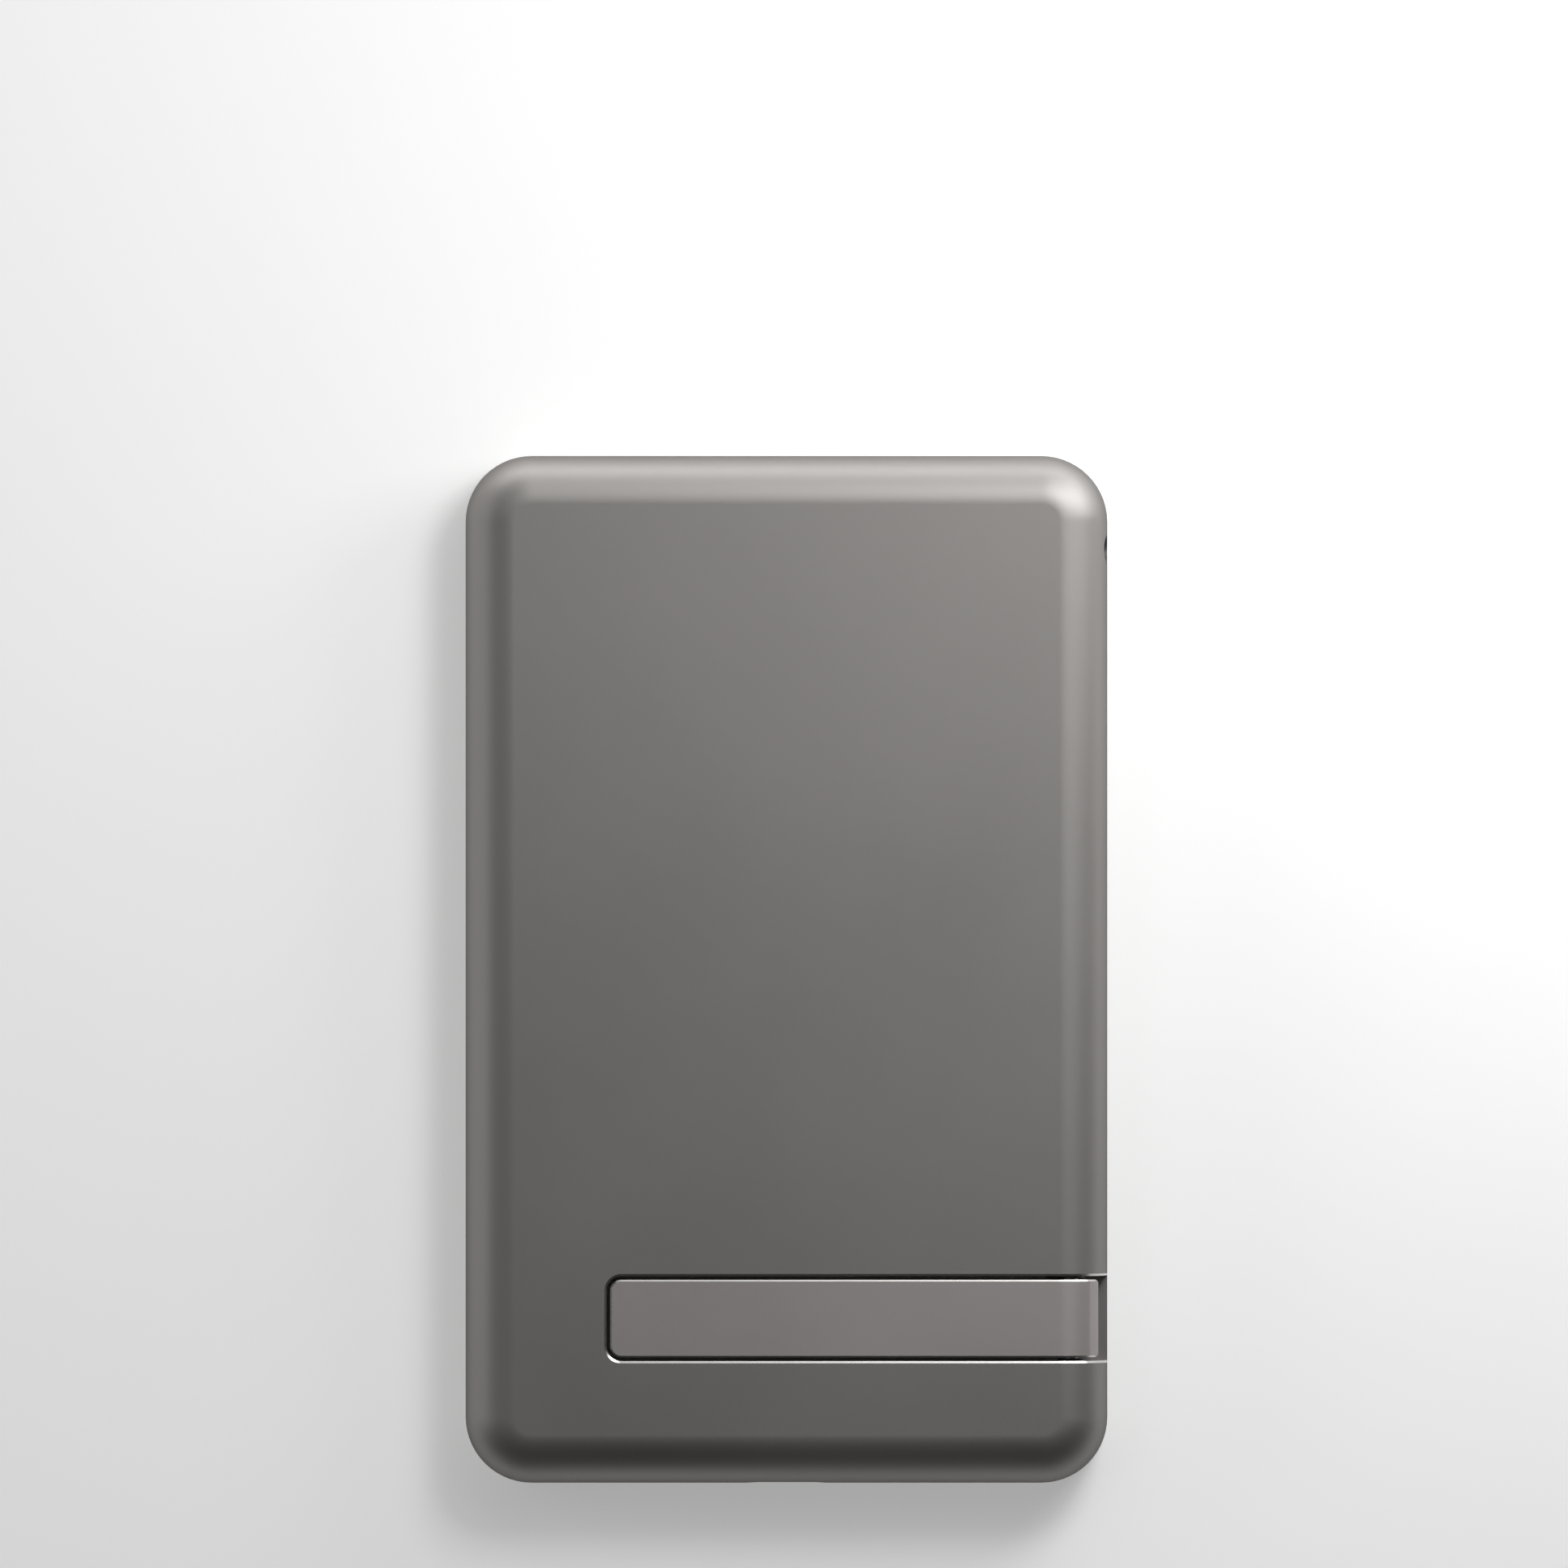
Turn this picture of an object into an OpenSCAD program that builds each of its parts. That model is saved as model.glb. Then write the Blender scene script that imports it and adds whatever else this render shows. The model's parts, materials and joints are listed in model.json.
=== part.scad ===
// Slim magnetic wireless power bank with a flip out kickstand.
// All lengths are in millimetres.
// The bank lies on its phone side, so the outer face looks up along +Z.
// +Y is the top end of the bank and +X is the side with the power button.
// The origin is the centre of the resting face.

/* [Body] */
// Width of the body across the button side
body_w = 70; // [69:0.5:76]
// Length of the body from the charging port end to the top end
body_l = 112; // [111:0.5:122]
// Thickness from the phone side to the outer face
body_t = 11; // [10.8:0.1:13]
// Radius of the four corners seen from the outer face
corner_r = 7.2; // [6.6:0.1:9]
// Radius of the soft edge around the outer face
edge_r = 5.3; // [4.6:0.1:5.5]
// Radius of the small edge at the phone side rim
rim_r = 0.8; // [0.4:0.1:1.2]
// Thickness of the metal wall
wall = 1.1; // [0.9:0.05:1.2]
// Height of the rim above the resting face
rim_rise = 0.2; // [0.1:0.05:0.4]

/* [Phone side panel] */
// Thickness of the panel
panel_t = 1.2; // [1:0.1:1.4]
// Gap between the panel and the rim around it
panel_gap = 0.15; // [0.1:0.05:0.3]
// Size of the bevel on the edge of the panel
panel_bevel = 0.4; // [0.2:0.1:0.6]
// Thickness of the adhesive that holds the panel
tape_t = 0.15; // [0.1:0.05:0.3]
// Width of the adhesive band
tape_w = 1.6; // [1:0.1:2]

/* [Kickstand] */
// Distance from the charging port end to the centre of the stand
stand_from_end = 18; // [17.5:0.25:19]
// Width of the slot that the leg folds into
slot_w = 9.25; // [8.75:0.05:9.75]
// Length of the slot from the button side to its round end
slot_l = 54.6; // [50:0.2:58]
// Radius of the two corners at the round end of the slot
slot_corner_r = 1.6; // [1:0.1:2]
// Gap between the leg and the slot around it
leg_gap = 0.4; // [0.35:0.01:0.5]
// Thickness of the leg
leg_t = 2.1; // [1.8:0.1:2.3]
// Gap below the folded leg
leg_lift = 0.3; // [0.2:0.05:0.5]
// Distance from the button side to the hinged end of the leg
leg_setback = 1.1; // [0.9:0.05:1.4]
// Radius of the corners at the hinged end of the leg
leg_end_r = 0.4; // [0.2:0.1:0.8]
// Thickness of the hinged end of the leg
leg_end_t = 0.9; // [0.7:0.1:1.1]
// Thickness of the slot floor
floor_t = 0.8; // [0.6:0.1:0.9]
// Distance from the hinge axis to the back of the hub under the leg
hub_back = 0.4; // [0.3:0.05:0.6]
// Distance from the hinge axis down to the foot of the hub
hub_drop = 0.6; // [0.4:0.05:0.8]

/* [Hinge] */
// Distance from the button side to the hinge axis
hinge_inset = 4; // [3.8:0.1:4.4]
// Depth of the hinge axis below the outer face
hinge_depth = 2.65; // [2.5:0.05:2.8]
// Radius of the round knuckle around the pin
knuckle_r = 1.6; // [1.4:0.05:1.7]
// Diameter of the hinge pin
pin_d = 1.5; // [1.2:0.1:1.6]
// Gap all around the pin in the leg
pin_run = 0.05; // [0.02:0.01:0.08]
// Gap all around the pin in the body
pin_seat = 0.02; // [0.01:0.01:0.05]
// Thickness of the wall that holds each end of the pin
hinge_wall = 1.2; // [1:0.1:1.4]
// Gap between the swinging end of the leg and the notch
notch_gap = 0.35; // [0.3:0.05:0.5]
// Thickness of the retaining rings on the pin
clip_t = 0.4; // [0.3:0.05:0.5]
// Outer diameter of the retaining rings
clip_d = 2.8; // [2.4:0.1:3]
// Gap around the retaining rings inside the body
clip_gap = 0.15; // [0.1:0.05:0.2]
// Thickness of the friction washers beside the knuckle
washer_t = 0.25; // [0.2:0.01:0.28]
// Outer diameter of the friction washers
washer_d = 2.9; // [2.4:0.1:3]

/* [Power button] */
// Centre of the button along the length, from the top end
button_from_top = 10.2; // [9.5:0.1:12]
// Height of the button above the resting face
button_z = 5.9; // [5.7:0.1:6.1]
// Diameter of the hole in the side wall
button_hole_d = 3.4; // [3:0.1:3.6]
// Gap all around the button in its hole
button_run = 0.07; // [0.04:0.01:0.1]
// Depth of the button face below the side wall
button_recess = 0.4; // [0.3:0.05:0.5]
// Travel of the button when it is pressed
button_travel = 0.25; // [0.15:0.05:0.25]
// Width of the collar that keeps the button in its hole
collar_lip = 0.4; // [0.3:0.05:0.5]
// Thickness of the collar
collar_t = 0.65; // [0.5:0.05:0.7]
// Diameter of the stem behind the collar
stem_d = 1.6; // [1.4:0.1:2]
// Length of the stem beyond the travel of the button
stem_extra = 0.2; // [0.1:0.05:0.3]
// Diameter of the plunger of the switch behind the button
plunger_d = 1.2; // [1:0.1:1.4]
// Length of the plunger outside the switch beyond its travel
plunger_extra = 0.15; // [0.1:0.05:0.2]
// Length of the plunger inside the switch
plunger_in = 0.4; // [0.3:0.05:0.5]
// Gap behind the pressed plunger
plunger_back_gap = 0.1; // [0.05:0.05:0.15]
// Thickness of the switch
switch_t = 1.2; // [1.1:0.05:1.3]
// Length of the switch
switch_l = 4.4; // [4:0.1:5]
// Height of the switch
switch_h = 3; // [2.6:0.1:3.4]
// Thickness of the wall behind the switch
backing_t = 0.4; // [0.3:0.05:0.5]

/* [Charging port] */
// Height of the centre of the socket above the resting face
port_z = 4.8; // [4.6:0.05:5.2]
// Width of the socket
port_w = 8.94; // [8.9:0.01:9]
// Height of the socket
port_h = 3.26; // [3.2:0.01:3.3]
// Depth of the socket
port_depth = 7.3; // [6.5:0.1:8]
// Thickness of the steel around the socket
port_shell_t = 0.3; // [0.25:0.05:0.35]
// Gap all around the block inside the socket
port_fit = 0.03; // [0.02:0.01:0.05]
// Gap between the socket and the opening around it
port_gap = 0.15; // [0.1:0.05:0.25]
// Depth of the socket mouth below the end wall
port_recess = 0.3; // [0.2:0.05:0.5]
// Width of each foot of the socket
port_foot_w = 1.4; // [1.2:0.1:1.8]
// Length of each foot of the socket
port_foot_l = 3; // [2:0.5:4]
// Distance from the back of the socket to its feet
port_foot_in = 1; // [0.5:0.25:1.5]
// Width of the contact tongue
tongue_w = 6.7; // [6.6:0.05:6.8]
// Thickness of the contact tongue
tongue_t = 0.7; // [0.65:0.01:0.75]
// Distance from the socket mouth to the tip of the tongue
tongue_in = 0.9; // [0.8:0.05:1.2]
// Length of the block at the back of the socket
tongue_block_l = 1.6; // [1.2:0.1:2]

/* [Indicator lights] */
// Height of the centre of the lights above the resting face
light_z = 5.5; // [5.4:0.05:5.8]
// Number of lights
light_count = 4; // [3:1:5]
// Distance between lights
light_pitch = 3; // [2.5:0.1:3.2]
// Distance from the port to the nearest light
light_start = 12; // [10:0.5:12]
// Diameter of each light
light_d = 1.1; // [0.8:0.1:1.3]
// Gap all around each light in its hole
light_gap = 0.05; // [0.03:0.01:0.1]
// Depth of the light tips below the end wall
light_recess = 0.05; // [0:0.01:0.1]
// Thickness of the clear bar behind the lights
light_bar_t = 1; // [0.8:0.1:1.2]
// Length and height of the clear bar past the lights
light_bar_margin = 0.45; // [0.3:0.05:0.6]
// Gap between the clear bar and the end wall
light_bar_gap = 0.1; // [0.05:0.05:0.2]
// Width of each light chip
light_chip_w = 1; // [0.8:0.1:1.2]
// Thickness of each light chip
light_chip_t = 0.8; // [0.6:0.05:0.8]

/* [Charging coil] */
// Centre of the coil from the top end of the body
coil_from_top = 35.8; // [34:0.2:38]
// Outer diameter of the ring of magnets
magnet_ring_d = 55.6; // [54:0.2:57]
// Width of the ring of magnets
magnet_ring_w = 4.6; // [4:0.1:5]
// Number of magnets in the ring
magnet_count = 16; // [12:1:20]
// Gap between neighbouring magnets in degrees
magnet_gap_deg = 1.4; // [1:0.1:2]
// Opening at the bottom of the ring in degrees
ring_opening_deg = 34; // [30:1:40]
// Thickness of the magnets
magnet_t = 1.1; // [0.9:0.05:1.2]
// Thickness of the steel ring behind the magnets
back_plate_t = 0.5; // [0.4:0.05:0.6]
// Gap between the ferrite sheet and the ring of magnets
ferrite_gap = 1.4; // [1:0.1:2.5]
// Width of the ferrite sheet outside the coil
ferrite_margin = 0.3; // [0.2:0.05:0.8]
// Diameter of the open middle of the coil
coil_bore_d = 20; // [17:0.5:24]
// Number of turns in the coil
coil_turns = 10; // [8:1:12]
// Thickness of the coil
coil_t = 0.9; // [0.7:0.05:1]
// Thickness of the ferrite sheet behind the coil
ferrite_t = 0.7; // [0.5:0.05:0.75]
// Width of the upright alignment magnet
key_magnet_w = 6.4; // [5.5:0.1:7]
// Length of the upright alignment magnet
key_magnet_l = 20; // [16:0.5:20]
// Gap between the ring and the upright alignment magnet
key_magnet_gap = 2; // [1.5:0.1:3]
// Width of each coil lead
coil_lead_w = 1; // [0.8:0.1:1.2]
// Height of each coil lead
coil_lead_h = 0.6; // [0.4:0.05:0.8]
// Gap between each coil lead and what it passes
coil_lead_gap = 0.5; // [0.4:0.05:0.7]
// Distance from each coil lead to the edge of the board
coil_lead_in = 0.6; // [0.5:0.1:1]
// Share of the pitch of the turns that each ridge takes
ridge_share = 0.8; // [0.6:0.05:0.9]

/* [Inner frame] */
// Depth of the well that holds the coil and the magnets
well_depth = 1.75; // [1.7:0.05:1.9]
// Thickness of the frame plate
plate_t = 0.6; // [0.5:0.05:0.7]
// Width of the frame rim
rim_w = 2.3; // [2:0.1:2.6]
// Radius of the inner corners of the frame rim
well_corner_r = 9; // [8:0.25:10]
// Diameter of the frame screws and board screws
screw_d = 1.4; // [1.2:0.1:1.5]
// Diameter of the screw heads
screw_head_d = 2.5; // [2.2:0.1:2.6]
// Height of the screw heads
screw_head_h = 0.7; // [0.5:0.05:0.8]
// Gap all around each screw in its hole
screw_gap = 0.1; // [0.05:0.01:0.15]
// Length of the frame screws
frame_screw_l = 5; // [4:0.25:5.5]
// Radius of the screw posts
post_r = 1.6; // [1.4:0.05:1.7]
// Distance of the frame screws inside the two side walls at each corner
post_inset = 3.8; // [3.6:0.1:4]
// Length of the board screws
board_screw_l = 2.2; // [2:0.1:2.4]
// Depth of each board screw hole past the screw
screw_bore_extra = 0.4; // [0.1:0.05:0.4]

/* [Battery] */
// Gap between the cell and the wall behind the switch
cell_side_gap = 0.1; // [0.1:0.1:1.5]
// Gap between the cell and the posts at the top end
cell_post_gap = 0.4; // [0.3:0.1:1]
// Gap between the cell and the foot of the flexible circuit
cell_foot_gap = 0.6; // [0.5:0.1:3]
// Length of the terrace that carries the tabs
terrace_l = 4.8; // [4.2:0.1:5.4]
// Thickness of the terrace
terrace_t = 1; // [0.6:0.1:1.1]
// Distance from each side of the cell to the terrace
terrace_inset = 3; // [2:0.5:5]
// Radius of the soft edges of the cell
cell_edge_r = 1.4; // [0.8:0.1:1.8]
// Thickness of the tape under the cell
cell_tape_t = 0.15; // [0.1:0.05:0.3]
// Width of each strip of tape under the cell
cell_tape_w = 14; // [10:1:18]
// Thickness of the graphite sheet on the cell
graphite_t = 0.15; // [0.1:0.05:0.3]
// Thickness of the foam pads on the graphite sheet
foam_t = 0.4; // [0.3:0.05:0.6]
// Width of each foam pad
foam_w = 12; // [8:1:16]
// Thickness of the tabs and straps
tab_t = 0.2; // [0.1:0.05:0.3]
// Width of each strap
tab_w = 4; // [3:0.5:5]
// Distance between the two straps
strap_pitch = 24; // [16:1:28]
// Length of each end of the straps
strap_foot_l = 2.5; // [2:0.1:3]
// Distance from the end of the cell to the bend of each strap
strap_bend_out = 0.8; // [0.5:0.1:1]
// Distance from the edge of the board to the bend of each strap
strap_bend_in = 0.2; // [0.1:0.05:0.4]
// Width of the small board that guards the cell
guard_w = 40; // [34:1:44]
// Gap between the guard board and the end of the terrace
guard_gap = 0.3; // [0.2:0.05:0.4]
// Gap between the guard board and the body of the cell
guard_cell_gap = 0.6; // [0.5:0.1:0.8]

/* [Circuit board] */
// Thickness of the main board
board_t = 0.8; // [0.6:0.1:0.9]
// Height of the board above the frame plate
board_lift = 0.3; // [0.2:0.05:0.4]
// Gap between the board and what is around it
board_gap = 0.5; // [0.4:0.05:0.6]
// Gap between the board and the end of the cell
board_cell_gap = 1.6; // [1.4:0.1:1.9]
// Distance from the sides and the inner end of the board to its screws
board_screw_inset = 2.4; // [2.2:0.1:2.8]
// Distance from the port end of the board to the screw far from the hinge
low_screw_y = 6; // [5:0.25:8]
// Distance from the port end of the board to the screw near the hinge
light_screw_y = 3; // [3:0.1:3.5]
// Distance from the board screws to the outer row of capacitors
capacitor_x = 2.2; // [2:0.1:2.6]
// Width of each capacitor
capacitor_w = 1.8; // [1.4:0.1:2]
// Length of each capacitor
capacitor_l = 3.2; // [2.6:0.1:3.4]
// Height of each capacitor
capacitor_h = 1.6; // [1:0.1:1.8]
// Gap between neighbouring capacitors along the board
capacitor_gap = 0.8; // [0.6:0.1:1]
// Distance between the two rows of capacitors
capacitor_row = 2.4; // [2.2:0.1:3]
// Distance from the second row of capacitors to the power inductor
inductor_gap = 1.6; // [1:0.1:2]
// Side of the square coil of the power inductor
inductor_w = 6.6; // [5:0.1:7]
// Height of the power inductor
inductor_h = 2.5; // [2:0.1:2.7]
// Radius of the corners of the inductor
inductor_corner_r = 0.6; // [0.5:0.05:0.8]
// Size of the bevel on the top of the inductor
inductor_bevel = 0.4; // [0.2:0.05:0.5]
// Side of the charger chip
charger_w = 5; // [4:0.25:6]
// Side of the coil driver chip
driver_w = 4; // [3:0.25:5]
// Height of the chips
chip_t = 0.8; // [0.6:0.05:1]
// Distance from the inner end of the board to the chips
chip_y = 3.8; // [3.4:0.1:5]
// Gap between the two chips
chip_gap = 6.5; // [4:0.5:8]
// Thickness of the flexible circuit to the button
flex_t = 0.15; // [0.1:0.05:0.2]
// Height of the flexible circuit along the side of the cell
flex_h = 1.6; // [1.2:0.1:2]
// Width of the foot of the flexible circuit
flex_foot_w = 1.5; // [1.2:0.1:1.8]
// Length of the foot on the board
flex_foot_in = 2; // [1.5:0.1:2.5]
// Gap between the foot of the flexible circuit and the wall of the hinge
flex_gap = 0.3; // [0.2:0.05:0.4]

/* [Hidden] */

// Segments of a full circle on the soft outer skin, on the cavity and on small round parts
SKIN_FN = 48;
CAVITY_FN = 32;
$fn = 48;
// Steps along a rounded corner of an outline
ARC_STEPS = 8;
// Extra length of a cut past the surface that it opens
OVER = 1;
// Length that two joined forms of one piece share
JOIN = 0.1;
// Half the height of the flat part between the round sides of the port
PORT_FLAT = 0.05;
// Radius at the open edge of the cavity, which the panel hides
CAVITY_RIM_R = 0.1;

// Side, end and ceiling of the space inside the metal body
side_x = body_w / 2;
end_y = body_l / 2;
inner_x = side_x - wall;
inner_y = end_y - wall;
ceiling_z = body_t - wall;
inner_corner_r = corner_r - wall;

// Centre of the round edge in a cut across the body
edge_x = side_x - edge_r;
edge_z = body_t - edge_r;

// Outline of everything that drops into the rim
inset_x = inner_x - panel_gap;
inset_y = inner_y - panel_gap;
inset_r = inner_corner_r - panel_gap;

// Heights of the layers above the phone side
tape_z = panel_t;
frame_z = tape_z + tape_t;
plate_z = frame_z + well_depth;
deck_z = plate_z + plate_t;
cell_z = deck_z + cell_tape_t;
cell_top_z = ceiling_z - foam_t - graphite_t;
foam_z = cell_top_z + graphite_t;
board_z = deck_z + board_lift;
board_top_z = board_z + board_t;

// Hinge axis, slot and leg
hinge_x = side_x - hinge_inset;
hinge_z = body_t - hinge_depth;
slot_x = side_x - slot_l;
stand_y = -end_y + stand_from_end;
slot_floor_z = body_t - leg_t - leg_lift;
leg_w = slot_w - 2 * leg_gap;
leg_x = slot_x + leg_gap;
leg_end_x = side_x - leg_setback;
leg_end_z = edge_z + sqrt(pow(edge_r, 2) - pow(leg_end_x - edge_x, 2));
leg_under_z = body_t - leg_t;
leg_corner_r = slot_corner_r - leg_gap;
swing_r = max(norm([leg_end_x - hinge_x, leg_end_z - hinge_z]),
    norm([leg_end_x - hinge_x, leg_end_z - leg_end_t - hinge_z]),
    norm([edge_x - hinge_x, hinge_depth]), knuckle_r) + notch_gap;
notch_floor_z = hinge_z - swing_r;
notch_x = hinge_x - knuckle_r - notch_gap - pin_d / 2;
pin_l = slot_w + 2 * hinge_wall + 2 * clip_t + 2 * pin_run;

// Button, its switch and the wall of the frame behind them
button_y = end_y - button_from_top;
button_d = button_hole_d - 2 * button_run;
collar_d = button_d + 2 * collar_lip;
collar_x = inner_x - button_run;
collar_back_x = collar_x - collar_t;
stem_l = button_travel + stem_extra;
stem_x = collar_back_x - stem_l;
plunger_show = button_travel + plunger_extra;
switch_x = stem_x - plunger_show;
plunger_bore_x = switch_x - plunger_in - button_travel - plunger_back_gap;
flex_x = switch_x - switch_t;
backing_x = flex_x - flex_t - backing_t;
flex_z = deck_z + board_lift;
flex_top_z = button_z + switch_h / 2;

// Cell and board along the length
post_x = inner_x + wall - post_inset;
post_y = inner_y + wall - post_inset;
flex_foot_y0 = stand_y + slot_w / 2 + hinge_wall + flex_gap;
flex_foot_y1 = flex_foot_y0 + flex_foot_w;
cell_w = 2 * (backing_x - cell_side_gap);
cell_y1 = post_y - post_r - cell_post_gap;
cell_y0 = flex_foot_y1 + cell_foot_gap;
cell_l = cell_y1 - cell_y0;
board_x0 = -(post_x - post_r - board_gap);
board_x1 = notch_x - floor_t - board_gap;
board_y0 = -(inner_y - board_gap);
board_y1 = cell_y0 - board_cell_gap;
board_mid_y = (board_y0 + board_y1) / 2;
capacitor_x0 = board_x0 + board_screw_inset + capacitor_x;
inductor_x = capacitor_x0 + 2 * capacitor_w + capacitor_row + inductor_gap + inductor_w / 2;

// Socket and lights
port_y0 = -end_y + port_recess;
port_y1 = port_y0 + port_depth;
light_hole_d = light_d + 2 * light_gap;
light_bar_y = -inner_y + light_bar_gap;

// Coil and magnets
coil_y = end_y - coil_from_top;
ring_r = magnet_ring_d / 2;
ring_inner_r = ring_r - magnet_ring_w;
magnet_span = (360 - ring_opening_deg) / magnet_count;
magnet_start = -90 + ring_opening_deg / 2;
key_magnet_y = coil_y - ring_r - key_magnet_gap - key_magnet_l / 2;
ferrite_d = 2 * (ring_inner_r - ferrite_gap);
coil_d = ferrite_d - 2 * ferrite_margin;
coil_pitch = (coil_d - coil_bore_d) / 2 / coil_turns;
lead_x = key_magnet_w / 2 + coil_lead_gap + coil_lead_w / 2;
lead_y1 = board_y1 - coil_lead_in;
lead_y0 = lead_y1 - coil_lead_w;

// Points along an arc, from one angle to another
function arc(cx, cy, r, a0, a1, steps = ARC_STEPS) =
    [for (i = [0:steps]) [cx + r * cos(a0 + (a1 - a0) * i / steps),
        cy + r * sin(a0 + (a1 - a0) * i / steps)]];

// Outline of a rectangle with round corners, centred on the origin
module round_rect(half_x, half_y, r) {
    polygon(concat(arc(half_x - r, half_y - r, r, 0, 90),
        arc(-half_x + r, half_y - r, r, 90, 180),
        arc(-half_x + r, -half_y + r, r, 180, 270),
        arc(half_x - r, -half_y + r, r, 270, 360)));
}

// A flat plate with round corners
module plate(half_x, half_y, r, z, t) {
    translate([0, 0, z])
        linear_extrude(t)
            round_rect(half_x, half_y, r);
}

// A box given by its lowest and highest corners
module span_box(low, high) {
    translate(low)
        cube([high[0] - low[0], high[1] - low[1], high[2] - low[2]]);
}

// A rod along X, Y or Z, starting at a point
module rod_x(at, d, l) {
    translate(at)
        rotate([0, 90, 0])
            cylinder(d = d, h = l);
}

module rod_y(at, d, l) {
    translate(at)
        rotate([-90, 0, 0])
            cylinder(d = d, h = l);
}

// Repeats its children at the four corner posts
module at_posts() {
    for (sx = [-1, 1])
        for (sy = [-1, 1])
            translate([sx * post_x, sy * post_y, 0])
                children();
}

// Soft rounded block, made from one turned form at each corner
module soft_block(half_x, half_y, r, top_r, low_r, z0, z1, segments) {
    hull()
        for (sx = [-1, 1])
            for (sy = [-1, 1])
                translate([sx * (half_x - r), sy * (half_y - r), 0])
                    rotate_extrude($fn = segments)
                        polygon(concat([[0, z1], [0, z0]],
                            arc(r - low_r, z0 + low_r, low_r, -90, 0, 4),
                            arc(r - top_r, z1 - top_r, top_r, 0, 90, segments / 4)));
}

// Solid left standing inside the body around the slot and the hinge
module slot_block() {
    y = slot_w / 2;
    span_box([slot_x - floor_t, stand_y - y - floor_t, slot_floor_z - floor_t],
        [side_x + OVER, stand_y + y + floor_t, body_t + OVER]);
    span_box([notch_x - floor_t, stand_y - y - hinge_wall, notch_floor_z - floor_t],
        [side_x + OVER, stand_y + y + hinge_wall, body_t + OVER]);
}

// Space that the folded leg lies in
module slot_cut() {
    translate([0, stand_y, slot_floor_z])
        linear_extrude(body_t)
            polygon(concat([[side_x + OVER, -slot_w / 2], [side_x + OVER, slot_w / 2]],
                arc(slot_x + slot_corner_r, slot_w / 2 - slot_corner_r, slot_corner_r, 90, 180),
                arc(slot_x + slot_corner_r, -slot_w / 2 + slot_corner_r, slot_corner_r, 180, 270)));
    span_box([notch_x, stand_y - slot_w / 2, notch_floor_z],
        [side_x + OVER, stand_y + slot_w / 2, body_t + OVER]);
}

// Metal body: outer face, side walls, stand slot and screw posts in one piece
module shell() {
    color([0.50, 0.49, 0.47])
        difference() {
            soft_block(side_x, end_y, corner_r, edge_r, rim_r, rim_rise, body_t, SKIN_FN);
            difference() {
                soft_block(inner_x, inner_y, inner_corner_r, edge_r - wall, CAVITY_RIM_R,
                    -OVER, ceiling_z, CAVITY_FN);
                slot_block();
                at_posts()
                    translate([0, 0, deck_z])
                        cylinder(r = post_r, h = body_t);
            }
            slot_cut();
            rod_y([hinge_x, stand_y - slot_w / 2 - hinge_wall - OVER, hinge_z],
                pin_d + 2 * pin_seat, slot_w + 2 * hinge_wall + 2 * OVER);
            for (sy = [-1, 1])
                translate([hinge_x, stand_y + sy * (slot_w / 2 + hinge_wall), hinge_z])
                    rotate([-90 * sy, 0, 0])
                        cylinder(d = clip_d + 2 * clip_gap, h = 2 * clip_t + clip_gap);
            rod_x([inner_x - OVER, button_y, button_z], button_hole_d, wall + 2 * OVER);
            rod_x([stem_x, button_y, button_z], collar_d + 4 * button_run, inner_x - stem_x);
            at_posts()
                translate([0, 0, deck_z - OVER])
                    cylinder(d = screw_d + 2 * pin_seat, h = frame_screw_l);
            port_block(port_w / 2 + port_gap, port_h / 2 + port_gap, -end_y - OVER,
                -inner_y + OVER);
            for (i = [0:light_count - 1])
                rod_y([light_start + i * light_pitch, -end_y - OVER, light_z],
                    light_hole_d, wall + 2 * OVER);
        }
}

// Flat panel that rests on the phone
module phone_side_panel() {
    color([0.20, 0.20, 0.21])
        hull() {
            plate(inset_x - panel_bevel, inset_y - panel_bevel, inset_r - panel_bevel, 0,
                panel_t);
            plate(inset_x, inset_y, inset_r, panel_bevel, panel_t - panel_bevel);
        }
}

// Band of adhesive between the panel and the frame
module panel_adhesive() {
    color([0.12, 0.12, 0.12])
        difference() {
            plate(inset_x, inset_y, inset_r, tape_z, tape_t);
            plate(inset_x - tape_w, inset_y - tape_w, inset_r - tape_w, tape_z - OVER,
                tape_t + 2 * OVER);
        }
}

// Places of the three board screws
board_screw_at = [[board_x0 + board_screw_inset, board_y1 - board_screw_inset],
    [board_x0 + board_screw_inset, board_y0 + low_screw_y],
    [board_x1 - board_screw_inset, board_y0 + light_screw_y]];

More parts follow.
